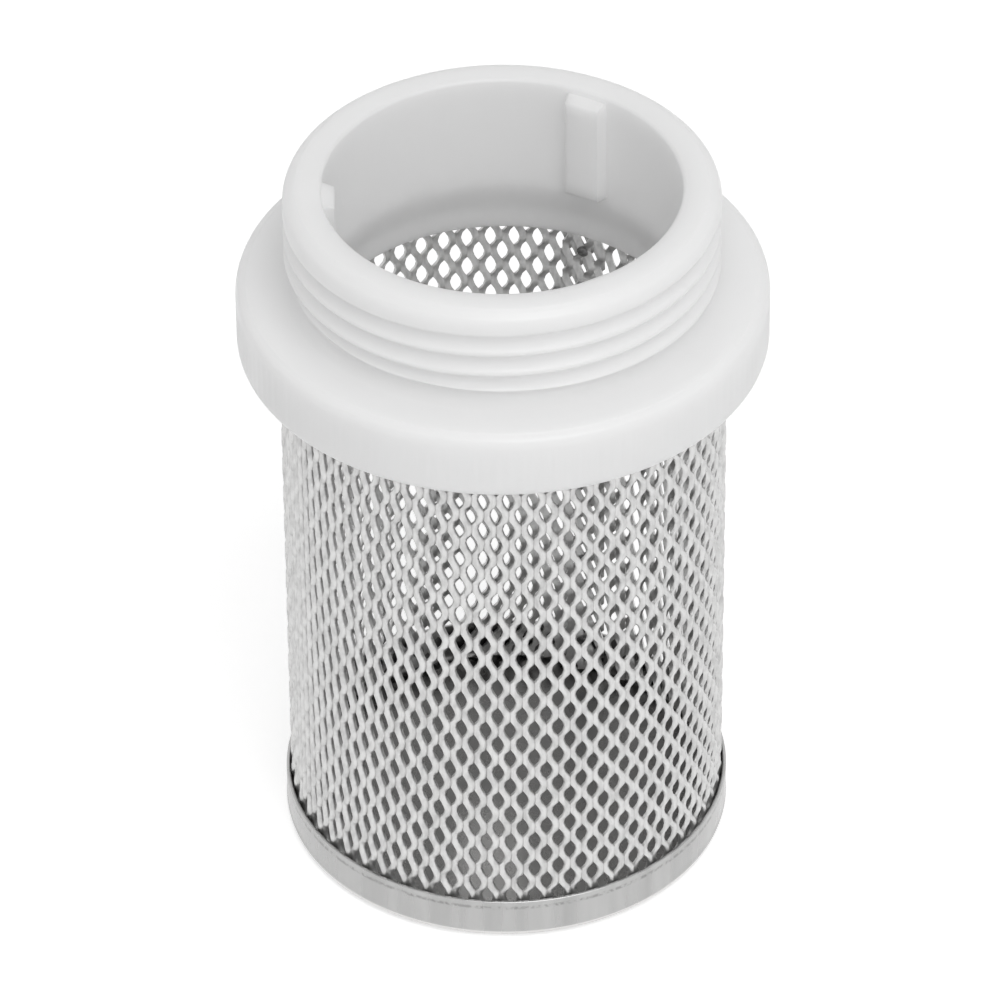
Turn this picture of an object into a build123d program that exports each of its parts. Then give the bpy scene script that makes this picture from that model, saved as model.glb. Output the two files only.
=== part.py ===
from build123d import *
import math
import os

# Suction strainer for a foot valve: a moulded nylon collar with a G 1 1/4 male thread,
# a rolled tube of expanded stainless mesh that fits into the underside of the collar,
# the spot welds of the tube's lap seam, and a pressed stainless cup closing the bottom.
# Millimetres, +Z up, origin at the centre of the cup's underside.

os.makedirs("parts", exist_ok=True)

# ---- driving dimensions -------------------------------------------------------------

# overall
rim_z = 75.9

# G 1 1/4 thread on the stub (11 threads to the inch)
thread_r = 20.955
thread_pitch = 2.309
thread_depth = 1.35
thread_root_half = 0.25
thread_flank_tan = math.tan(math.radians(27.5))
thread_start_deg = -40.0
thread_start_z = 65.95
thread_turns = 3.45
relief_r = 19.55
relief_top_z = 66.35
relief_bottom_z = 66.15
first_flank_h = 0.75
groove_overlap = 0.3

# stub mouth
bore_r = 17.2
rim_flat_r = 19.6
mouth_fillet = 0.35
shoulder_start = (19.95, 75.66)
shoulder_mid = (20.66, 75.0)
shoulder_end_z = 74.05

# flange
flange_r = 25.65
flange_top_z = 65.05
flange_root_r = 21.25
flange_root_mid = (19.93, 65.42)
flange_edge_r = 24.5
flange_edge_mid = (25.3, 64.5)
flange_side_top_z = 63.5
flange_bottom_z = 58.1
flange_bottom_fillet = 0.9
knurl_count = 140
knurl_depth = 0.15
knurl_half_w = 0.2
knurl_overlap = 0.1

# sleeve inside the flange and the slot that takes the mesh
sleeve_r = 17.95
sleeve_bottom_z = 57.7
sleeve_lip_fillet = 0.25
sleeve_step_bottom_z = 60.6
sleeve_step_top_z = 63.1
slot_in_r = 20.8
slot_out_r = 21.8
slot_top_z = 61.8
pocket_in_r = 19.85
pocket_out_r = 21.2
pocket_az = 66.0
pocket_half_deg = 9.0

# key lugs inside the mouth
lug_count = 3
lug_az = 61.0
lug_face_r = 15.9
lug_width = 3.8
lug_bottom_z = 64.0
lug_top_z = 74.7
lug_root_r = 17.9
lug_bottom_chamfer = 0.15
lug_top_chamfer = 0.3
lug_top_rise = 0.25

# expanded-metal tube
mesh_out_r = 21.7
mesh_t = 0.8
mesh_bottom_z = 0.8
mesh_top_z = slot_top_z
column_step = 6.3492 / 2
seam_az = 61.61
last_step = 117
jog_step = 112
lap_drop = 0.9
long_way = 3.54
hole_half_w = 0.6
hole_half_h = 1.12
first_odd_row_z = 3.023
odd_rows = 17
even_rows = 16
hole_cut_depth = 1.45
cut_start_r = 20.85
cut_start_on_jog_r = 20.3
cut_start_after_jog_r = 19.8
cut_start_on_lap_r = 19.4

# pressed bottom cup
cup_r = 22.12
cup_wall = 0.38
cup_floor = 0.4
cup_h = 4.68
cup_corner = 1.0
cup_rim_fillet = 0.12

# spot welds on the seam
weld_r = 0.7
weld_proud = 0.22
weld_gap = 0.02
weld_az = 66.7
weld_rows = (1, 4, 7, 10, 13, 15)


def polar(radius, degrees):
    """Point on a circle about the axis."""
    a = math.radians(degrees)
    return (radius * math.cos(a), radius * math.sin(a))


def radial_plane(radius, degrees, z):
    """Plane facing outwards, standing at a radius, an azimuth and a height."""
    x, y = polar(radius, degrees)
    ux, uy = polar(1.0, degrees)
    return Plane(origin=(x, y, z), x_dir=(-uy, ux, 0), z_dir=(ux, uy, 0))


# ---- threaded collar ----------------------------------------------------------------

# tool that cuts the thread: one trapezoid swept along the helix
groove_top_half = thread_root_half + (thread_depth + groove_overlap) * thread_flank_tan

with BuildPart() as thread_groove:
    with BuildLine(Plane.XY.offset(thread_start_z)) as thread_path:
        Helix(pitch=thread_pitch, height=thread_pitch * thread_turns, radius=thread_r)
    with BuildSketch(
        Plane(
            origin=(thread_r, 0, thread_start_z),
            x_dir=(1, 0, 0),
            z_dir=thread_path.line % 0,
        )
    ):
        with BuildLine():
            Polyline(
                (-thread_depth, -thread_root_half),
                (groove_overlap, -groove_top_half),
                (groove_overlap, groove_top_half),
                (-thread_depth, thread_root_half),
                close=True,
            )
        make_face()
    sweep(path=thread_path.line, is_frenet=True)

with BuildPart() as threaded_collar:
    # turned section of the stub, the flange and the sleeve
    with BuildSketch(Plane.XZ) as section:
        with BuildLine():
            Polyline(
                (bore_r, rim_z),
                (rim_flat_r, rim_z),
                shoulder_start,
            )
            ThreePointArc(shoulder_start, shoulder_mid, (thread_r, shoulder_end_z))
            Polyline(
                (thread_r, shoulder_end_z),
                (thread_r, relief_top_z + first_flank_h),
                (relief_r, relief_top_z),
                (relief_r, relief_bottom_z),
            )
            ThreePointArc(
                (relief_r, relief_bottom_z),
                flange_root_mid,
                (flange_root_r, flange_top_z),
            )
            Line((flange_root_r, flange_top_z), (flange_edge_r, flange_top_z))
            ThreePointArc(
                (flange_edge_r, flange_top_z),
                flange_edge_mid,
                (flange_r, flange_side_top_z),
            )
            Polyline(
                (flange_r, flange_side_top_z),
                (flange_r, flange_bottom_z),
                (slot_out_r, flange_bottom_z),
                (slot_out_r, slot_top_z),
                (slot_in_r, slot_top_z),
                (slot_in_r, sleeve_bottom_z),
                (sleeve_r, sleeve_bottom_z),
                (sleeve_r, sleeve_step_bottom_z),
            )
            Spline(
                (sleeve_r, sleeve_step_bottom_z),
                (bore_r, sleeve_step_top_z),
                tangents=((0, 1), (0, 1)),
            )
            Line((bore_r, sleeve_step_top_z), (bore_r, rim_z))
        make_face()
        rounded_corners = (
            ((flange_r, flange_bottom_z), flange_bottom_fillet),
            ((bore_r, rim_z), mouth_fillet),
            ((sleeve_r, sleeve_bottom_z), sleeve_lip_fillet),
            ((slot_in_r, sleeve_bottom_z), sleeve_lip_fillet),
        )
        for corner, radius in rounded_corners:
            fillet(section.vertices().sort_by_distance(corner)[0], radius)
    revolve(axis=Axis.Z)

    # helical groove of the thread, running into the relief above the flange
    add(thread_groove.part, rotation=(0, 0, thread_start_deg), mode=Mode.SUBTRACT)

    # three key lugs standing in the mouth, each with a sloped top
    lug_planes = []
    for n in range(lug_count):
        ux, uy = polar(1.0, lug_az + 360.0 / lug_count * n)
        lug_planes.append(Plane(origin=(0, 0, 0), x_dir=(ux, uy, 0), z_dir=(uy, -ux, 0)))
    with BuildSketch(*lug_planes):
        with BuildLine():
            Polyline(
                (lug_root_r, lug_bottom_z),
                (lug_face_r + lug_bottom_chamfer, lug_bottom_z),
                (lug_face_r, lug_bottom_z + lug_bottom_chamfer),
                (lug_face_r, lug_top_z - 1.5 * lug_top_chamfer),
                (lug_face_r + lug_top_chamfer, lug_top_z),
                (lug_root_r, lug_top_z + lug_top_rise),
                close=True,
            )
        make_face()
    extrude(amount=lug_width / 2, both=True)

    # local pocket in the slot for the lap of the mesh
    pocket_from = pocket_az - pocket_half_deg
    pocket_to = pocket_az + pocket_half_deg
    pocket_bottom_z = sleeve_bottom_z - 0.1
    with BuildSketch(Plane.XY.offset(pocket_bottom_z)):
        with BuildLine():
            Line(polar(pocket_in_r, pocket_from), polar(pocket_out_r, pocket_from))
            ThreePointArc(
                polar(pocket_out_r, pocket_from),
                polar(pocket_out_r, pocket_az),
                polar(pocket_out_r, pocket_to),
            )
            Line(polar(pocket_out_r, pocket_to), polar(pocket_in_r, pocket_to))
            ThreePointArc(
                polar(pocket_in_r, pocket_to),
                polar(pocket_in_r, pocket_az),
                polar(pocket_in_r, pocket_from),
            )
        make_face()
    extrude(amount=slot_top_z - pocket_bottom_z, mode=Mode.SUBTRACT)

    # fine vertical serrations round the flange
    knurl_bottom_z = flange_bottom_z + flange_bottom_fillet
    with BuildSketch(Plane.XY.offset(knurl_bottom_z)):
        with PolarLocations(flange_r, knurl_count):
            with BuildLine(mode=Mode.PRIVATE) as notch:
                Polyline(
                    (-knurl_depth, 0),
                    (knurl_overlap, -knurl_half_w),
                    (knurl_overlap, knurl_half_w),
                    close=True,
                )
            add(make_face(notch.edges(), mode=Mode.PRIVATE))
    extrude(amount=flange_side_top_z - knurl_bottom_z, mode=Mode.SUBTRACT)

threaded_collar.part.label = "threaded_collar"
export_step(threaded_collar.part, "parts/threaded_collar.step", write_pcurves=False)


# ---- expanded-metal tube ------------------------------------------------------------

mid_r = mesh_out_r - mesh_t / 2

outer_side = []
inner_side = []
for i in range(last_step + 1):
    r = mid_r
    if i > jog_step:
        r = mid_r - lap_drop
    outer_side.append(polar(r + mesh_t / 2, seam_az + i * column_step))
    inner_side.append(polar(r - mesh_t / 2, seam_az + i * column_step))

hole_planes = []
for i in range(1, last_step):
    cut_from = cut_start_r
    if i == jog_step:
        cut_from = cut_start_on_jog_r
    if i == jog_step + 1:
        cut_from = cut_start_after_jog_r
    if i > jog_step + 1:
        cut_from = cut_start_on_lap_r
    rows = odd_rows
    row_z = first_odd_row_z
    if i % 2 == 0:
        rows = even_rows
        row_z = first_odd_row_z + long_way / 2
    for n in range(rows):
        hole_planes.append(radial_plane(cut_from, seam_az + i * column_step, row_z + n * long_way))

with BuildPart() as mesh_screen:
    # the rolled sheet: once round, a jog inwards, then a lap under its own start
    with BuildSketch(Plane.XY.offset(mesh_bottom_z)):
        with BuildLine():
            Polyline(*outer_side, *reversed(inner_side), close=True)
        make_face()
    extrude(amount=mesh_top_z - mesh_bottom_z)

    # staggered diamond openings, long way vertical
    with BuildSketch(*hole_planes):
        with BuildLine():
            Polyline(
                (0, hole_half_h),
                (-hole_half_w, 0),
                (0, -hole_half_h),
                (hole_half_w, 0),
                close=True,
            )
        make_face()
    extrude(amount=hole_cut_depth, mode=Mode.SUBTRACT)

mesh_screen.part.label = "mesh_screen"
export_step(mesh_screen.part, "parts/mesh_screen.step", write_pcurves=False)


# ---- spot welds of the lap seam -----------------------------------------------------

lap_in_r = mesh_out_r - mesh_t - lap_drop
weld_planes = []
for n in weld_rows:
    weld_z = first_odd_row_z - long_way / 2 + n * long_way
    weld_planes.append(radial_plane(lap_in_r - weld_proud, weld_az, weld_z))

with BuildPart() as seam_welds:
    # flattened nuggets standing on the inner face of the lap
    with BuildSketch(*weld_planes):
        Circle(weld_r)
    extrude(amount=weld_proud - weld_gap)

seam_welds.part.label = "seam_welds"
export_step(seam_welds.part, "parts/seam_welds.step", write_pcurves=False)


# ---- pressed bottom cup -------------------------------------------------------------

with BuildPart() as bottom_cap:
    with BuildSketch(Plane.XZ) as cup_section:
        with BuildLine():
            Polyline(
                (0, 0),
                (cup_r, 0),
                (cup_r, cup_h),
                (cup_r - cup_wall, cup_h),
                (cup_r - cup_wall, cup_floor),
                (0, cup_floor),
                close=True,
            )
        make_face()
        fillet(cup_section.vertices().sort_by_distance((cup_r, 0))[0], cup_corner)
        fillet(
            cup_section.vertices().sort_by_distance((cup_r - cup_wall, cup_floor))[0],
            cup_corner - cup_wall,
        )
    revolve(axis=Axis.Z)
    fillet(bottom_cap.edges().group_by(Axis.Z)[-1], cup_rim_fillet)

bottom_cap.part.label = "bottom_cap"
export_step(bottom_cap.part, "parts/bottom_cap.step", write_pcurves=False)
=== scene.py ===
"""Suction strainer of a foot valve: nylon collar, expanded-metal basket, pressed cup."""

import logging
import math
from dataclasses import dataclass
from enum import Enum

import bmesh
import bpy
from mathutils import Matrix, Vector

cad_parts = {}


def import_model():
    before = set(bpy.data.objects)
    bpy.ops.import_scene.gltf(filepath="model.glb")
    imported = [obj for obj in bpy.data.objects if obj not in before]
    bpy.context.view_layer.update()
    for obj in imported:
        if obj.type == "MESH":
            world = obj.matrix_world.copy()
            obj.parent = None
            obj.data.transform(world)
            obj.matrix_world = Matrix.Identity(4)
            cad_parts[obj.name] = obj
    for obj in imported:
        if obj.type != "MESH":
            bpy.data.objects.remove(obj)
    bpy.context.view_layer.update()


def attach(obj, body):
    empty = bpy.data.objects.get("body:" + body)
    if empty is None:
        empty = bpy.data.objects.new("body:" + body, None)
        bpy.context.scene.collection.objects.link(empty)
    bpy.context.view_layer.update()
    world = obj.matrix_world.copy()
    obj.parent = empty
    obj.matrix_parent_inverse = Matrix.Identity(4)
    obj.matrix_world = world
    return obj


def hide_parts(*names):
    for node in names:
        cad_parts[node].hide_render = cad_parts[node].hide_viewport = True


LOG = logging.getLogger("strainer")
MM = 0.001
BODY = "root"
AXIS_Z = Vector((0.0, 0.0, 1.0))
MERGE_MM = 0.001
CIRCLE_PULL = math.sqrt(0.5)  # makes a curve between equal legs a quarter circle


class Slot(Enum):
    """Material slots of the record."""

    NYLON = "nylon"
    MESH = "mesh_steel"
    CUP = "cup_steel"
    WELD = "weld_steel"


class Node(Enum):
    """CAD nodes that the pieces stand for."""

    COLLAR = "threaded_collar"
    MESH = "mesh_screen"
    WELDS = "seam_welds"
    CUP = "bottom_cap"


# ---- shared making -------------------------------------------------------------------


class Outline:
    """Chain of (radius, height) points in millimetres that a lathe turns."""

    def __init__(self, radius: float, height: float) -> None:
        """Starts the chain.

        Args:
            radius: Radius of the first point.
            height: Height of the first point.
        """
        self.points: list[tuple[float, float]] = [(radius, height)]

    def line(self, radius: float, height: float, steps: int = 1) -> "Outline":
        """Adds a straight run.

        Args:
            radius: Radius of its end.
            height: Height of its end.
            steps: How many pieces the run is cut into.

        Returns:
            The outline, for chaining.
        """
        start_r, start_z = self.points[-1]
        for n in range(1, steps + 1):
            share = n / steps
            point = (start_r + (radius - start_r) * share, start_z + (height - start_z) * share)
            self.points.append(point)
        return self

    def arc(self, bend: tuple[float, float], end: tuple[float, float], steps: int) -> "Outline":
        """Adds a rounded corner as a curve pulled towards a point.

        Args:
            bend: The corner that the curve rounds off.
            end: Where the curve ends.
            steps: How many pieces it is cut into.

        Returns:
            The outline, for chaining.
        """
        start_r, start_z = self.points[-1]
        for n in range(1, steps + 1):
            t = n / steps
            a, b, c = (1.0 - t) ** 2, 2.0 * t * (1.0 - t), t * t
            weight = a + b * CIRCLE_PULL + c
            radius = (a * start_r + b * CIRCLE_PULL * bend[0] + c * end[0]) / weight
            height = (a * start_z + b * CIRCLE_PULL * bend[1] + c * end[1]) / weight
            self.points.append((radius, height))
        return self

    def turn(self, mesh: bmesh.types.BMesh, steps: int, closed: bool) -> None:
        """Turns the outline about the axis.

        Args:
            mesh: The mesh that receives the turned shape.
            steps: How many pieces the circle is cut into.
            closed: Whether the last point joins the first.
        """
        chain = [mesh.verts.new((r * MM, 0.0, z * MM)) for r, z in self.points]
        edges = [mesh.edges.new(pair) for pair in zip(chain, chain[1:])]
        if closed:
            edges.append(mesh.edges.new((chain[-1], chain[0])))
        bmesh.ops.spin(
            mesh,
            geom=chain + edges,
            cent=(0.0, 0.0, 0.0),
            axis=AXIS_Z,
            dvec=(0.0, 0.0, 0.0),
            angle=math.tau,
            space=Matrix.Identity(4),
            steps=steps,
            use_merge=True,
            use_normal_flip=False,
            use_duplicate=False,
        )
        bmesh.ops.remove_doubles(mesh, verts=mesh.verts[:], dist=MERGE_MM * MM)


def soft_min(a: float, b: float, blend: float) -> float:
    """Smaller of two numbers, rounded where they cross.

    Args:
        a: First number.
        b: Second number.
        blend: How far from the crossing the rounding reaches.

    Returns:
        The rounded minimum.
    """
    share = max(blend - abs(a - b), 0.0) / blend
    return min(a, b) - share * share * blend * 0.25


def smooth_step(low: float, high: float, value: float) -> float:
    """Runs smoothly from 0 at low to 1 at high.

    Args:
        low: Where the rise starts.
        high: Where it ends.
        value: The place asked for.

    Returns:
        A number from 0 to 1.
    """
    share = min(max((value - low) / (high - low), 0.0), 1.0)
    return share * share * (3.0 - 2.0 * share)


def finish_piece(
    mesh: bmesh.types.BMesh,
    node: Node,
    material: bpy.types.Material,
    sharp_deg: float,
) -> bpy.types.Object:
    """Makes a mesh an object that stands for a CAD node.

    Args:
        mesh: The finished shape, which is freed.
        node: The CAD node it stands for.
        material: The finish.
        sharp_deg: Edges that turn by more than this stay sharp.

    Returns:
        The new object.
    """
    bmesh.ops.recalc_face_normals(mesh, faces=mesh.faces[:])
    data = bpy.data.meshes.new(f"{node.value}_shape")
    mesh.to_mesh(data)
    mesh.free()
    data.shade_smooth()
    data.set_sharp_from_angle(angle=math.radians(sharp_deg))
    data.materials.append(material)
    piece = bpy.data.objects.new(f"{node.value}_look", data)
    bpy.context.scene.collection.objects.link(piece)
    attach(piece, BODY)
    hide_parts(node.value)
    LOG.info("%s: %d faces", piece.name, len(data.polygons))
    return piece


# ---- finishes ------------------------------------------------------------------------


class NodeSheet:
    """Small helper that wires a node material."""

    def __init__(self, name: str) -> None:
        """Makes an empty principled material.

        Args:
            name: The material's name.
        """
        self.material = bpy.data.materials.new(name)
        self.material.use_nodes = True
        self.nodes = self.material.node_tree.nodes
        self.links = self.material.node_tree.links
        self.shader = self.nodes["Principled BSDF"]
        self.place = self.nodes.new("ShaderNodeTexCoord").outputs["Object"]

    def set(self, **values: float | tuple[float, ...]) -> None:
        """Sets constant values on the shader; underscores stand for spaces in socket names.

        Args:
            **values: Socket names and values.
        """
        for name, value in values.items():
            self.shader.inputs[name.replace("_", " ")].default_value = value

    def stretched(self, scale: tuple[float, float, float]) -> bpy.types.NodeSocket:
        """Object coordinates scaled along each axis.

        Args:
            scale: The factors.

        Returns:
            The scaled coordinates.
        """
        mapping = self.nodes.new("ShaderNodeMapping")
        mapping.inputs["Scale"].default_value = scale
        self.links.new(self.place, mapping.inputs["Vector"])
        return mapping.outputs["Vector"]

    def noise(
        self, where: bpy.types.NodeSocket, scale: float, detail: float
    ) -> bpy.types.NodeSocket:
        """Noise texture.

        Args:
            where: Coordinates.
            scale: Scale of the noise.
            detail: Octaves.

        Returns:
            The noise value.
        """
        noise = self.nodes.new("ShaderNodeTexNoise")
        noise.inputs["Scale"].default_value = scale
        noise.inputs["Detail"].default_value = detail
        self.links.new(where, noise.inputs["Vector"])
        return noise.outputs["Fac"]

    def math(self, operation: str, a: object, b: object) -> bpy.types.NodeSocket:
        """Arithmetic on sockets or numbers.

        Args:
            operation: Name of the operation.
            a: First socket or number.
            b: Second socket or number.

        Returns:
            The result.
        """
        node = self.nodes.new("ShaderNodeMath")
        node.operation = operation
        for socket, value in zip(node.inputs, (a, b)):
            if isinstance(value, (int, float)):
                socket.default_value = value
            else:
                self.links.new(value, socket)
        return node.outputs["Value"]

    def height(self) -> bpy.types.NodeSocket:
        """Height above the base, in millimetres."""
        split = self.nodes.new("ShaderNodeSeparateXYZ")
        self.links.new(self.place, split.inputs["Vector"])
        return self.math("MULTIPLY", split.outputs["Z"], 1.0 / MM)

    def radius(self) -> bpy.types.NodeSocket:
        """Distance from the axis, in millimetres."""
        flat = self.stretched((1.0, 1.0, 0.0))
        length = self.nodes.new("ShaderNodeVectorMath")
        length.operation = "LENGTH"
        self.links.new(flat, length.inputs[0])
        return self.math("MULTIPLY", length.outputs["Value"], 1.0 / MM)

    def off_centre(
        self, middle: tuple[float, float], half: tuple[float, float]
    ) -> bpy.types.NodeSocket:
        """Distance from a point of a level face, as a share of an oval's half sizes.

        Args:
            middle: The oval's middle, in millimetres.
            half: Its half sizes along X and Y, in millimetres.

        Returns:
            0 in the middle and 1 on the oval's edge.
        """
        mapping = self.nodes.new("ShaderNodeMapping")
        scale = (1.0 / (half[0] * MM), 1.0 / (half[1] * MM), 0.0)
        mapping.inputs["Scale"].default_value = scale
        shift = (-middle[0] / half[0], -middle[1] / half[1], 0.0)
        mapping.inputs["Location"].default_value = shift
        self.links.new(self.place, mapping.inputs["Vector"])
        length = self.nodes.new("ShaderNodeVectorMath")
        length.operation = "LENGTH"
        self.links.new(mapping.outputs["Vector"], length.inputs[0])
        return length.outputs["Value"]

    def blend(
        self, share: bpy.types.NodeSocket, base: bpy.types.NodeSocket, grey: float
    ) -> bpy.types.NodeSocket:
        """Blends a colour towards a slightly warm grey.

        Args:
            share: How much of the grey shows, from 0 to 1.
            base: The colour under it.
            grey: The grey.

        Returns:
            The blended colour.
        """
        mix = self.nodes.new("ShaderNodeMix")
        mix.data_type = "RGBA"
        mix.inputs["B"].default_value = (grey, grey * 0.99, grey * 0.98, 1.0)
        self.links.new(share, mix.inputs["Factor"])
        self.links.new(base, mix.inputs["A"])
        return mix.outputs["Result"]

    def shaded(
        self,
        share: bpy.types.NodeSocket,
        colour: tuple[float, float, float, float],
        shade: float,
    ) -> bpy.types.NodeSocket:
        """Darkens a constant colour where a share says so.

        Args:
            share: How much of the darker colour shows, from 0 to 1.
            colour: The colour.
            shade: What the darker colour's grey level is multiplied by.

        Returns:
            The shaded colour.
        """
        mix = self.nodes.new("ShaderNodeMix")
        mix.data_type = "RGBA"
        mix.inputs["A"].default_value = colour
        grey = colour[0] * shade
        mix.inputs["B"].default_value = (grey, grey, grey, 1.0)
        self.links.new(share, mix.inputs["Factor"])
        return mix.outputs["Result"]

    def span(
        self, value: bpy.types.NodeSocket, low: float, high: float, to: tuple[float, float]
    ) -> bpy.types.NodeSocket:
        """Maps a range of a value smoothly to another range.

        Args:
            value: The value.
            low: Start of its range.
            high: End of its range.
            to: What the start and the end become.

        Returns:
            The mapped value.
        """
        node = self.nodes.new("ShaderNodeMapRange")
        node.interpolation_type = "SMOOTHSTEP"
        node.inputs["From Min"].default_value = low
        node.inputs["From Max"].default_value = high
        node.inputs["To Min"].default_value = to[0]
        node.inputs["To Max"].default_value = to[1]
        self.links.new(value, node.inputs["Value"])
        return node.outputs["Result"]

    def tint(
        self, value: bpy.types.NodeSocket, stops: list[tuple[float, float]]
    ) -> bpy.types.NodeSocket:
        """Greys along a value.

        Args:
            value: The value.
            stops: Positions and grey levels.

        Returns:
            The colour.
        """
        ramp = self.nodes.new("ShaderNodeValToRGB")
        elements = ramp.color_ramp.elements
        for n, (position, grey) in enumerate(stops):
            stop = elements[n] if n < len(elements) else elements.new(position)
            stop.position = position
            stop.color = (grey, grey * 0.998, grey * 0.992, 1.0)
        self.links.new(value, ramp.inputs["Fac"])
        return ramp.outputs["Color"]

    def bump(self, value: bpy.types.NodeSocket, strength: float, depth_mm: float) -> None:
        """Adds a bump to the shader.

        Args:
            value: Height value.
            strength: Strength of the bump.
            depth_mm: Depth in millimetres.
        """
        bump = self.nodes.new("ShaderNodeBump")
        bump.inputs["Strength"].default_value = strength
        bump.inputs["Distance"].default_value = depth_mm * MM
        self.links.new(value, bump.inputs["Height"])
        self.links.new(bump.outputs["Normal"], self.shader.inputs["Normal"])


@dataclass(frozen=True)
class Nylon:
    """Milky translucent nylon, as moulded, with painted shade darkening its colour low in the
    bore.
    """

    colour: tuple[float, float, float, float] = (0.93, 0.93, 0.93, 1.0)
    roughness: float = 0.36
    ior: float = 1.5
    scatter: float = 1.0
    depth_mm: float = 3.4
    shade: float = 0.9
    shade_r: tuple[float, float] = (18.5, 18.8)
    shade_z: tuple[float, float] = (60.0, 64.8)
    mottle_scale: float = 260.0
    grain_scale: float = 900.0
    bump_mm: float = 0.03

    def build(self) -> bpy.types.Material:
        """Builds the material."""
        sheet = NodeSheet("nylon")
        sheet.set(
            Subsurface_Weight=self.scatter,
            Subsurface_Radius=(1.0, 1.0, 1.0),
            Subsurface_Scale=self.depth_mm * MM,
            IOR=self.ior,
        )
        # painted shade: the colour is darkened low in the bore, around the sleeve, where the
        # bore lies in shadow
        painted_bore_shade = sheet.math(
            "MULTIPLY",
            sheet.span(sheet.radius(), *self.shade_r, (1.0, 0.0)),
            sheet.span(sheet.height(), *self.shade_z, (1.0, 0.0)),
        )
        colour = sheet.shaded(painted_bore_shade, self.colour, self.shade)
        sheet.links.new(colour, sheet.shader.inputs["Base Color"])
        mottle = sheet.noise(sheet.place, self.mottle_scale, 3.0)
        rough = sheet.span(mottle, 0.3, 0.7, (self.roughness - 0.06, self.roughness + 0.08))
        sheet.links.new(rough, sheet.shader.inputs["Roughness"])
        grain = sheet.noise(sheet.place, self.grain_scale, 3.0)
        relief = sheet.math("ADD", grain, sheet.math("MULTIPLY", mottle, 2.0))
        sheet.bump(relief, 0.18, self.bump_mm)
        return sheet.material


@dataclass(frozen=True)
class MeshSteel:
    """Matt stainless sheet, torn and stretched into strands."""

    light: float = 0.7
    dark: float = 0.5
    roughness: float = 0.38
    metallic: float = 0.82
    drawn_scale: float = 1800.0
    drawn_along: float = 0.35
    bump_mm: float = 0.03

    def build(self) -> bpy.types.Material:
        """Builds the material."""
        sheet = NodeSheet("mesh_steel")
        sheet.set(Metallic=self.metallic, Roughness=self.roughness)
        along = sheet.stretched((1.0, 1.0, self.drawn_along))
        drawn = sheet.noise(along, self.drawn_scale, 4.0)
        sheet.links.new(
            sheet.tint(drawn, [(0.25, self.dark), (0.6, self.light)]),
            sheet.shader.inputs["Base Color"],
        )
        sheet.bump(drawn, 0.25, self.bump_mm)
        return sheet.material


@dataclass(frozen=True)
class CupSteel:
    """Satin pressed stainless: pale corner from a painted reflection, stain under the edge,
    painted shade inside.
    """

    light: float = 0.5
    dark: float = 0.4
    painted_corner_sheen: float = 0.68
    stain: float = 0.2
    inside: float = 0.55
    roughness: float = 0.27
    wall_r: float = 21.9
    corner_mm: float = 1.0
    edge_mm: float = 4.68
    stain_below_mm: float = 0.72
    floor_mm: tuple[float, float] = (0.1, 0.2)
    glint: float = 0.45
    glint_at: tuple[float, float] = (-2.0, -14.0)
    glint_half: tuple[float, float] = (5.5, 16.0)
    streak_scale: float = 420.0
    streak_along: float = 0.08
    blot_scale: float = 2200.0
    bump_mm: float = 0.03

    def build(self) -> bpy.types.Material:
        """Builds the material."""
        sheet = NodeSheet("cup_steel")
        sheet.set(Metallic=1.0)
        along = sheet.stretched((1.0, 1.0, self.streak_along))
        streaks = sheet.noise(along, self.streak_scale, 4.0)
        height = sheet.height()
        line_mm = self.edge_mm - self.stain_below_mm
        band = sheet.math(
            "MULTIPLY",
            sheet.span(height, line_mm - 0.28, line_mm - 0.06, (0.0, 1.0)),
            sheet.span(height, line_mm + 0.06, line_mm + 0.3, (1.0, 0.0)),
        )
        blots = sheet.noise(sheet.place, self.blot_scale, 4.0)
        spots = sheet.math("MULTIPLY", band, sheet.span(blots, 0.4, 0.6, (0.05, 0.6)))
        wall = sheet.tint(streaks, [(0.3, self.dark), (0.7, self.light)])
        # painted reflection: the bottom corner is coloured paler, standing in for the bright
        # floor reflected in it
        bend = sheet.span(height, self.corner_mm - 0.15, self.corner_mm, (1.0, 0.0))
        body = sheet.blend(bend, wall, self.painted_corner_sheen)
        stained = sheet.blend(spots, body, self.stain)
        # painted shade: the cup's floor and inner wall are darkened where the basket shades
        # them; the glint oval is a painted reflection that lifts this shade on the floor
        within = sheet.span(sheet.radius(), self.wall_r - 0.1, self.wall_r, (1.0, 0.0))
        above = sheet.span(height, *self.floor_mm, (0.0, 1.0))
        inside_shade = sheet.math("MULTIPLY", within, above)
        patch = sheet.off_centre(self.glint_at, self.glint_half)
        glint = sheet.span(patch, 0.2, 1.0, (self.glint, 0.0))
        inside_shade = sheet.math("SUBTRACT", inside_shade, sheet.math("MULTIPLY", inside_shade, glint))
        shade = sheet.blend(inside_shade, stained, self.dark * self.inside)
        sheet.links.new(shade, sheet.shader.inputs["Base Color"])
        rough = sheet.span(streaks, 0.3, 0.7, (self.roughness - 0.05, self.roughness + 0.07))
        sheet.links.new(rough, sheet.shader.inputs["Roughness"])
        sheet.bump(streaks, 0.12, self.bump_mm)
        return sheet.material


@dataclass(frozen=True)
class WeldSteel:
    """Heat-stained spot weld."""

    light: float = 0.32
    dark: float = 0.1
    burn_scale: float = 1600.0
    bump_mm: float = 0.05

    def build(self) -> bpy.types.Material:
        """Builds the material."""
        sheet = NodeSheet("weld_steel")
        sheet.set(Metallic=0.9, Roughness=0.5)
        burn = sheet.noise(sheet.place, self.burn_scale, 4.0)
        sheet.links.new(
            sheet.tint(burn, [(0.3, self.dark), (0.7, self.light)]),
            sheet.shader.inputs["Base Color"],
        )
        sheet.bump(burn, 0.5, self.bump_mm)
        return sheet.material


# ---- the collar ----------------------------------------------------------------------


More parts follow.
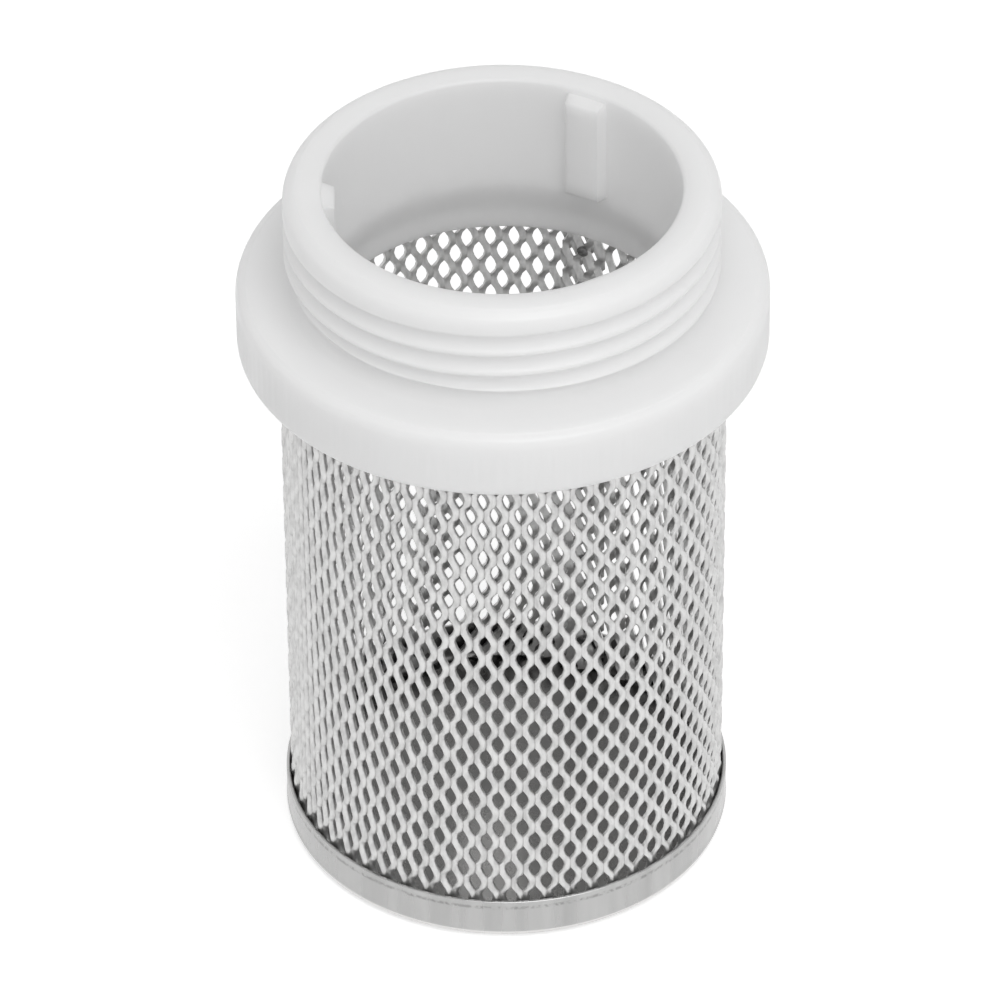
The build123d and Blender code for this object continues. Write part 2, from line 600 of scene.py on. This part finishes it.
@dataclass
class Collar:
    """Moulded collar: threaded stub, flange, sleeve and key lugs. Sizes in millimetres."""

    rim_z: float = 75.9
    rim_round: float = 0.35
    rim_face_r: float = 19.72
    rim_lip: tuple[tuple[float, float], ...] = ((19.78, 0.03), (19.9, 0.15), (20.02, 0.2))
    rim_chamfer: tuple[float, float] = (20.6, 75.25)
    bore_r: float = 17.2
    crest_r: float = 20.955
    crest_bend_z: float = 74.9
    crest_top_z: float = 74.2
    pitch: float = 2.309
    groove_depth: float = 1.35
    groove_root_half: float = 0.25
    groove_slope: float = math.tan(math.radians(27.5))
    groove_start_deg: float = -40.0
    groove_start_z: float = 65.95
    groove_turns: float = 3.45
    groove_fade: float = 0.02
    round_off: float = 0.42
    thread_low_z: float = 66.0
    thread_blend: float = 0.12
    relief_r: float = 19.55
    relief_z: float = 66.35
    relief_rise: float = 0.75
    neck_z: float = 66.15
    neck_foot_r: float = 21.25
    flange_r: float = 25.649
    flange_top_z: float = 65.05
    flange_bottom_z: float = 58.1
    flange_face_r: float = 24.66
    flange_lip: tuple[tuple[float, float], ...] = ((24.7, 0.02), (24.8, 0.12), (24.92, 0.16))
    flange_chamfer: tuple[float, float] = (25.32, 64.66)
    flange_bend: tuple[float, float] = (25.63, 64.45)
    flange_side_z: tuple[float, float] = (59.0, 63.7)
    flange_round: float = 0.9
    slot_in_r: float = 20.8
    slot_out_r: float = 21.8
    slot_top_z: float = 61.8
    sleeve_r: float = 17.95
    sleeve_z: float = 57.7
    sleeve_round: float = 0.25
    taper_z: float = 59.6
    taper_rise: float = 4.4
    taper_steps: int = 10
    serrations: int = 140
    serration_depth: float = 0.08
    serration_z: tuple[float, float] = (59.2, 63.3)
    lug_count: int = 3
    lug_az: float = 61.0
    lug_face_r: float = 15.9
    lug_width: float = 3.8
    lug_bottom_z: float = 64.02
    lug_top_z: float = 74.8
    lug_soft: float = 0.3
    steps_per_serration: int = 3
    thread_row: float = 0.1

    def outline(self) -> Outline:
        """Section of the collar without thread, serrations and lugs, as a closed chain."""
        lip = self.sleeve_round
        shape = Outline(self.sleeve_r, self.sleeve_z + lip)
        shape.line(self.sleeve_r, self.taper_z, 2)
        for n in range(1, self.taper_steps + 1):
            share = smooth_step(0.0, 1.0, n / self.taper_steps)
            radius = self.sleeve_r + (self.bore_r - self.sleeve_r) * share
            shape.line(radius, self.taper_z + self.taper_rise * n / self.taper_steps)
        for height in self.lug_rows():
            shape.line(self.bore_r, height)
        self.draw_stub(shape)
        self.draw_flange(shape)
        shape.line(self.slot_out_r, self.flange_bottom_z, 2)
        shape.line(self.slot_out_r, self.slot_top_z, 2)
        shape.line(self.slot_in_r, self.slot_top_z)
        shape.line(self.slot_in_r, self.sleeve_z + lip, 2)
        shape.arc((self.slot_in_r, self.sleeve_z), (self.slot_in_r - lip, self.sleeve_z), 3)
        shape.line(self.sleeve_r + lip, self.sleeve_z, 2)
        shape.arc((self.sleeve_r, self.sleeve_z), (self.sleeve_r, self.sleeve_z + 0.2), 3)
        return shape

    def draw_stub(self, shape: Outline) -> None:
        """Adds the rim, the thread's crest line and the neck under it.

        Args:
            shape: The outline, which stands at the top of the bore.
        """
        top, edge = self.rim_z, self.rim_round
        shape.line(self.bore_r, top - edge, 2)
        shape.arc((self.bore_r, top), (self.bore_r + edge, top), 5)
        shape.line(self.rim_face_r, top, 3)
        for radius, drop in self.rim_lip:
            shape.line(radius, top - drop)
        shape.line(*self.rim_chamfer, 3)
        shape.arc((self.crest_r, self.crest_bend_z), (self.crest_r, self.crest_top_z), 7)
        rows = round((self.crest_top_z - self.relief_z - self.relief_rise) / self.thread_row)
        shape.line(self.crest_r, self.relief_z + self.relief_rise, rows)
        shape.line(self.relief_r, self.relief_z, 8)
        shape.line(self.relief_r, self.neck_z, 2)
        shape.arc((self.relief_r, self.flange_top_z), (self.neck_foot_r, self.flange_top_z), 9)

    def draw_flange(self, shape: Outline) -> None:
        """Adds the flange's top, its soft upper edge, its side and its lower corner.

        Args:
            shape: The outline, which stands at the foot of the neck.
        """
        shape.line(self.flange_face_r, self.flange_top_z, 4)
        for radius, drop in self.flange_lip:
            shape.line(radius, self.flange_top_z - drop)
        shape.line(*self.flange_chamfer, 2)
        side_low, side_high = self.flange_side_z
        shape.arc(self.flange_bend, (self.flange_r, side_high), 6)
        shape.line(self.flange_r, self.serration_z[1])
        shape.line(self.flange_r, self.serration_z[0], 5)
        shape.line(self.flange_r, side_low)
        corner = self.flange_bottom_z
        shape.arc((self.flange_r, corner), (self.flange_r - self.flange_round, corner), 7)

    def groove_at(self, azimuth: float, height: float) -> float:
        """How deep the thread's groove is at a place on the stub.

        Args:
            azimuth: Degrees about the axis.
            height: Height in millimetres.

        Returns:
            Depth below the crest, in millimetres.
        """
        turn = ((azimuth - self.groove_start_deg) % 360.0) / 360.0
        nearest = round((height - self.groove_start_z) / self.pitch - turn)
        along = nearest + turn
        if along < 0.0:
            return 0.0
        end, soft = self.groove_turns, self.groove_fade
        fade = 1.0 - smooth_step(end - soft, end + soft, along)
        away = abs(height - self.groove_start_z - along * self.pitch)
        flank = (self.groove_root_half - away) / self.groove_slope + self.groove_depth
        depth = soft_min(flank, self.groove_depth, self.round_off)
        return fade * -soft_min(-depth, 0.0, self.round_off)

    def cut_thread(self, mesh: bmesh.types.BMesh) -> None:
        """Sinks the helical groove into the stub.

        Args:
            mesh: The turned collar.
        """
        for vert in mesh.verts:
            radius = vert.co.xy.length / MM
            height = vert.co.z / MM
            on_stub = self.thread_low_z <= height <= self.rim_z - 0.1
            if radius < self.relief_r - 0.2 or not on_stub:
                continue
            azimuth = math.degrees(math.atan2(vert.co.y, vert.co.x))
            floor = self.crest_r - self.groove_at(azimuth, height)
            wanted = soft_min(radius, floor, self.thread_blend)
            scale = wanted / radius
            vert.co.x *= scale
            vert.co.y *= scale

    def cut_serrations(self, mesh: bmesh.types.BMesh) -> None:
        """Presses fine vertical grooves into the flange's edge.

        Args:
            mesh: The turned collar.
        """
        pitch = 360.0 / self.serrations
        low, high = self.serration_z[0] - 0.1, self.serration_z[1] + 0.1
        for vert in mesh.verts:
            radius = vert.co.xy.length / MM
            height = vert.co.z / MM
            if radius < self.flange_r - 0.02 or not low <= height <= high:
                continue
            azimuth = math.degrees(math.atan2(vert.co.y, vert.co.x)) / pitch
            if abs(azimuth - round(azimuth)) < 0.1:
                scale = 1.0 - self.serration_depth / radius
                vert.co.x *= scale
                vert.co.y *= scale

    def lug_rows(self) -> list[float]:
        """Heights of the bore's rows, closest together at the ends of the lugs."""
        low, high, soft = self.lug_bottom_z, self.lug_top_z, self.lug_soft
        ends = [0.0, 0.3 * soft, soft]
        rows = [low + step for step in ends]
        rows += [low + (high - low) * n / 8 for n in range(1, 8)]
        return rows + [high - step for step in reversed(ends)]

    def raise_lugs(self, mesh: bmesh.types.BMesh) -> None:
        """Draws the bore's wall inwards where the key lugs stand.

        Args:
            mesh: The turned collar.
        """
        for vert in mesh.verts:
            radius = vert.co.xy.length / MM
            height = vert.co.z / MM
            if abs(radius - self.bore_r) > 0.02:
                continue
            azimuth = math.degrees(math.atan2(vert.co.y, vert.co.x)) - self.lug_az
            spacing = 360.0 / self.lug_count
            off = math.radians(azimuth - spacing * round(azimuth / spacing))
            across = abs(self.lug_face_r * math.tan(off))
            inside = min(
                self.lug_width / 2 - across,
                height - self.lug_bottom_z,
                self.lug_top_z - height,
            )
            if inside <= 0.0:
                continue
            face_r = self.lug_face_r / math.cos(off)
            edge = max(1.0 - inside / self.lug_soft, 0.0)
            face_r += self.lug_soft * 0.5 * edge * edge
            vert.co.x *= face_r / radius
            vert.co.y *= face_r / radius

    def build(self) -> bpy.types.Object:
        """Makes the collar."""
        mesh = bmesh.new()
        self.outline().turn(mesh, self.serrations * self.steps_per_serration, closed=True)
        self.cut_thread(mesh)
        self.cut_serrations(mesh)
        self.raise_lugs(mesh)
        return finish_piece(mesh, Node.COLLAR, Nylon().build(), 50.0)


# ---- the mesh tube -------------------------------------------------------------------


@dataclass
class MeshTube:
    """Expanded-metal tube, made of wavy strands that meet at the bonds. Millimetres."""

    mid_r: float = 21.27
    bottom_z: float = 0.9
    top_z: float = 60.4
    long_way: float = 3.54
    column_deg: float = 6.3492 / 2
    seam_az: float = 61.61
    strands: int = 117
    jog_strand: int = 110
    jog_steps: int = 4
    lap_drop: float = 0.9
    first_bond_z: float = 3.023
    opening_half_w: float = 0.6
    opening_half_h: float = 1.2
    thickness: float = 0.46
    edge_round: float = 0.2
    edge_drop: float = 0.18
    tilt: float = math.tan(math.radians(19.0))
    weave: float = 1.18
    overlap: float = 0.012
    end_gap: float = 0.15

    def __post_init__(self) -> None:
        """Works out what follows from the sizes."""
        self.column_w = math.radians(self.column_deg) * self.mid_r

    def opening(self, height: float) -> float:
        """Half width of a pointed opening.

        Args:
            height: Height above the opening's middle.

        Returns:
            Half its width there, 0 past its points.
        """
        away = (height + self.long_way / 2) % self.long_way - self.long_way / 2
        if abs(away) >= self.opening_half_h:
            return 0.0
        return self.opening_half_w * math.cos(math.pi / 2 * away / self.opening_half_h)

    def rows(self, phase_z: float) -> list[float]:
        """Heights of a strand's rows, closest together where its edges bend.

        Args:
            phase_z: Height of an opening on its right.

        Returns:
            The heights, from the bottom to the top.
        """
        half = self.long_way / 2
        tip = self.opening_half_h
        marks = (0.0, half - tip, half / 2, tip)
        found = [self.bottom_z]
        turn = math.floor((self.bottom_z - phase_z) / half)
        while found[-1] < self.top_z:
            for mark in marks:
                height = phase_z + turn * half + mark
                if self.bottom_z + self.end_gap < height < self.top_z - self.end_gap:
                    found.append(height)
            turn += 1
            if phase_z + turn * half > self.top_z:
                found.append(self.top_z)
        return found

    def strand(self, mesh: bmesh.types.BMesh, phase_z: float) -> None:
        """Makes one strand at azimuth 0, on the surface of the tube.

        Args:
            mesh: The mesh that receives it.
            phase_z: Height of an opening on its right.
        """
        heights = self.rows(phase_z)
        corners = ((-1.0, -1.0), (1.0, -1.0), (1.0, 0.5), (0.5, 1.0), (-0.5, 1.0), (-1.0, 0.5))
        made = bmesh.ops.create_circle(mesh, cap_ends=True, radius=1.0, segments=len(corners))
        ring = made["verts"]
        for vert, (across, out) in zip(ring, corners):
            vert.co = Vector((out, across, 0.0))
        edges = list({edge for vert in ring for edge in vert.link_edges})
        bmesh.ops.spin(
            mesh,
            geom=edges + list(ring[0].link_faces),
            cent=(0.0, 0.0, 0.0),
            axis=AXIS_Z,
            dvec=(0.0, 0.0, 1.0),
            angle=0.0,
            space=Matrix.Identity(4),
            steps=len(heights) - 1,
            use_merge=False,
            use_normal_flip=False,
            use_duplicate=False,
        )
        bond = self.column_w / 2 + self.overlap
        for vert in mesh.verts:
            height = heights[round(vert.co.z)]
            left = self.opening(height - phase_z - self.long_way / 2) - bond
            right = bond - self.opening(height - phase_z)
            middle, half = (left + right) / 2, (right - left) / 2
            side = math.copysign(1.0, vert.co.y)
            front = vert.co.x > 0.9
            across = side * (half - self.edge_round if front else half)
            out = -self.thickness / 2
            if vert.co.x > 0.0:
                out = self.thickness / 2 - (0.0 if front else self.edge_drop)
            lift = self.tilt * (middle * self.weave - across)
            vert.co = Vector((out + lift, middle + across + out * self.tilt, height)) * MM

    def build(self) -> bpy.types.Object:
        """Makes the tube."""
        mesh = bmesh.new()
        for odd in (0, 1):
            phase_z = self.first_bond_z + odd * self.long_way / 2
            single = bmesh.new()
            self.strand(single, phase_z)
            data = bpy.data.meshes.new("strand")
            single.to_mesh(data)
            single.free()
            for n in range(odd, self.strands, 2):
                steps = min(max(n - self.jog_strand + 1, 0), self.jog_steps)
                drop = self.lap_drop * steps / self.jog_steps
                start = len(mesh.verts)
                mesh.from_mesh(data)
                mesh.verts.ensure_lookup_table()
                verts = mesh.verts[start:]
                out = Vector(((self.mid_r - drop) * MM, 0.0, 0.0))
                bmesh.ops.translate(mesh, vec=out, verts=verts)
                azimuth = self.seam_az + (n + 0.5) * self.column_deg
                turn = Matrix.Rotation(math.radians(azimuth), 3, "Z")
                bmesh.ops.rotate(mesh, cent=(0.0, 0.0, 0.0), matrix=turn, verts=verts)
            bpy.data.meshes.remove(data)
        return finish_piece(mesh, Node.MESH, MeshSteel().build(), 48.0)


@dataclass
class SeamWelds:
    """Spot welds on the inner face of the lap. Millimetres."""

    azimuth: float = 66.7
    face_r: float = 19.98
    proud: float = 0.2
    radius: float = 0.6
    long_way: float = 3.54
    first_z: float = 1.253
    squash: float = 0.9
    rows: tuple[int, ...] = (1, 4, 7, 10, 13, 15)

    def build(self) -> bpy.types.Object:
        """Makes the welds."""
        mesh = bmesh.new()
        for row in self.rows:
            made = bmesh.ops.create_uvsphere(
                mesh, u_segments=20, v_segments=10, radius=self.radius * MM
            )
            verts = made["verts"]
            flat = self.proud / 2 / self.radius
            bmesh.ops.scale(mesh, vec=(flat, 1.0, self.squash), verts=verts)
            height = self.first_z + row * self.long_way
            place = Vector((self.face_r - self.proud / 2, 0.0, height))
            bmesh.ops.translate(mesh, vec=place * MM, verts=verts)
            turn = Matrix.Rotation(math.radians(self.azimuth), 3, "Z")
            bmesh.ops.rotate(mesh, cent=(0.0, 0.0, 0.0), matrix=turn, verts=verts)
        return finish_piece(mesh, Node.WELDS, WeldSteel().build(), 60.0)


# ---- the cup -------------------------------------------------------------------------


@dataclass
class Cup:
    """Pressed bottom cup. Millimetres."""

    radius: float = 22.12
    wall: float = 0.38
    floor: float = 0.4
    height: float = 4.68
    corner: float = 1.0
    edge: float = 0.12
    bead: float = 0.05
    bead_low: float = 0.12
    bead_high: float = 0.3
    middle_r: float = 0.4
    steps: int = 256

    def build(self) -> bpy.types.Object:
        """Makes the cup."""
        inner = self.radius - self.wall
        hollow = self.corner - self.wall
        shape = Outline(self.middle_r, self.floor)
        shape.line(inner - hollow, self.floor, 6)
        shape.arc((inner, self.floor), (inner, self.floor + hollow), 5)
        shape.line(inner, self.height - self.edge, 4)
        shape.arc((inner, self.height), (inner + self.edge, self.height), 3)
        shape.line(self.radius - self.edge, self.height)
        shape.arc((self.radius, self.height), (self.radius, self.height - self.edge), 3)
        shape.line(self.radius, self.corner + self.bead_high, 6)
        shape.line(self.radius + self.bead, self.corner + self.bead_low, 2)
        shape.arc((self.radius, 0.0), (self.radius - self.corner, 0.0), 8)
        shape.line(self.middle_r, 0.0, 6)
        mesh = bmesh.new()
        shape.turn(mesh, self.steps, closed=False)
        rims = [edge for edge in mesh.edges if edge.is_boundary]
        bmesh.ops.holes_fill(mesh, edges=rims, sides=0)
        return finish_piece(mesh, Node.CUP, CupSteel().build(), 50.0)


# ---- the stage -----------------------------------------------------------------------


def seen_rays(nodes: bpy.types.Nodes, links: bpy.types.NodeLinks) -> bpy.types.NodeSocket:
    """Tells the rays that show a backdrop from the rays that only light the scene.

    Args:
        nodes: Nodes of the tree.
        links: Links of the tree.

    Returns:
        1 for camera, glossy and transmission rays, 0 for the others.
    """
    rays = nodes.new("ShaderNodeLightPath")
    value = rays.outputs["Is Camera Ray"]
    for kind in ("Is Glossy Ray", "Is Transmission Ray"):
        larger = nodes.new("ShaderNodeMath")
        larger.operation = "MAXIMUM"
        links.new(value, larger.inputs[0])
        links.new(rays.outputs[kind], larger.inputs[1])
        value = larger.outputs["Value"]
    return value


@dataclass
class Studio:
    """Camera, lamp, world and floor. Metres and degrees."""

    eye: tuple[float, float, float] = (0.0, -0.585982, 0.500082)
    elevation: float = 38.438
    pan: float = 0.033
    tilt: float = 0.163
    roll: float = 0.43
    lens: float = 274.2
    sensor: float = 36.0
    clip: tuple[float, float] = (0.01, 20.0)
    floor_half: float = 2.0
    floor_grey: float = 0.9
    floor_glow: float = 0.45
    ambient: float = 0.55
    key_place: tuple[float, float, float] = (0.17, -0.47, 0.75)
    key_size: float = 0.6
    key_power: float = 2.6
    key_aim: tuple[float, float, float] = (0.0, 0.0, 0.04)

    def camera(self) -> bpy.types.Object:
        """Places the camera.

        Returns:
            The camera object, set as the scene's camera.
        """
        data = bpy.data.cameras.new("camera")
        data.lens = self.lens
        data.sensor_width = self.sensor
        data.clip_start, data.clip_end = self.clip
        camera = bpy.data.objects.new("camera", data)
        bpy.context.scene.collection.objects.link(camera)
        down = math.radians(self.elevation)
        forward = Vector((0.0, math.cos(down), -math.sin(down)))
        right = Vector((1.0, 0.0, 0.0))
        up = right.cross(forward)
        turn = Matrix.Rotation(math.radians(self.pan), 3, up)
        forward, right = turn @ forward, turn @ right
        turn = Matrix.Rotation(math.radians(self.tilt), 3, right)
        forward, up = turn @ forward, turn @ up
        turn = Matrix.Rotation(math.radians(self.roll), 3, forward)
        right, up = turn @ right, turn @ up
        rows = Matrix((right, up, -forward)).transposed()
        camera.matrix_world = Matrix.Translation(self.eye) @ rows.to_4x4()
        bpy.context.scene.camera = camera
        return camera

    def lamp(self, name: str, place: Vector, size: float, power: float) -> bpy.types.Object:
        """Adds a soft square lamp aimed at the object.

        Args:
            name: The lamp's name.
            place: Where it hangs, in metres.
            size: Side of the square, in metres.
            power: Watts.

        Returns:
            The lamp object.
        """
        data = bpy.data.lights.new(name, "AREA")
        data.size = size
        data.energy = power
        lamp = bpy.data.objects.new(name, data)
        bpy.context.scene.collection.objects.link(lamp)
        lamp.location = place
        lamp.rotation_mode = "QUATERNION"
        aim = Vector(self.key_aim) - place
        lamp.rotation_quaternion = aim.to_track_quat("-Z", "Y")
        return lamp

    def world(self) -> None:
        """Lights the scene evenly and shows white behind it."""
        world = bpy.data.worlds.new("studio")
        world.use_nodes = True
        bpy.context.scene.world = world
        nodes = world.node_tree.nodes
        links = world.node_tree.links
        nodes.clear()
        output = nodes.new("ShaderNodeOutputWorld")
        mix = nodes.new("ShaderNodeMixShader")
        soft = nodes.new("ShaderNodeBackground")
        soft.inputs["Color"].default_value = (1.0, 1.0, 1.0, 1.0)
        soft.inputs["Strength"].default_value = self.ambient
        white = nodes.new("ShaderNodeBackground")
        white.inputs["Color"].default_value = (1.0, 1.0, 1.0, 1.0)
        white.inputs["Strength"].default_value = 1.0
        links.new(seen_rays(nodes, links), mix.inputs["Fac"])
        links.new(soft.outputs["Background"], mix.inputs[1])
        links.new(white.outputs["Background"], mix.inputs[2])
        links.new(mix.outputs["Shader"], output.inputs["Surface"])

    def floor(self) -> bpy.types.Object:
        """Lays the pale floor.

        Returns:
            The floor object.
        """
        mesh = bmesh.new()
        bmesh.ops.create_grid(mesh, x_segments=1, y_segments=1, size=self.floor_half)
        data = bpy.data.meshes.new("floor")
        mesh.to_mesh(data)
        mesh.free()
        floor = bpy.data.objects.new("floor", data)
        bpy.context.scene.collection.objects.link(floor)
        sheet = NodeSheet("floor")
        sheet.set(
            Base_Color=(self.floor_grey, self.floor_grey, self.floor_grey, 1.0),
            Roughness=1.0,
            Specular_IOR_Level=0.0,
            Emission_Color=(1.0, 1.0, 1.0, 1.0),
        )
        glow = sheet.math("MULTIPLY", seen_rays(sheet.nodes, sheet.links), self.floor_glow)
        sheet.links.new(glow, sheet.shader.inputs["Emission Strength"])
        data.materials.append(sheet.material)
        return floor

    def build(self) -> None:
        """Sets the whole stage."""
        self.camera()
        self.world()
        self.floor()
        self.lamp("key", Vector(self.key_place), self.key_size, self.key_power)


def main() -> None:
    """Builds the stage and the strainer's pieces."""
    logging.basicConfig(level=logging.INFO)
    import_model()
    bpy.context.scene.view_settings.view_transform = "Standard"
    Studio().build()
    for part in (Collar(), MeshTube(), SeamWelds(), Cup()):
        piece = part.build()
        LOG.info("made %s", piece.name)


if __name__ == "__main__":
    main()
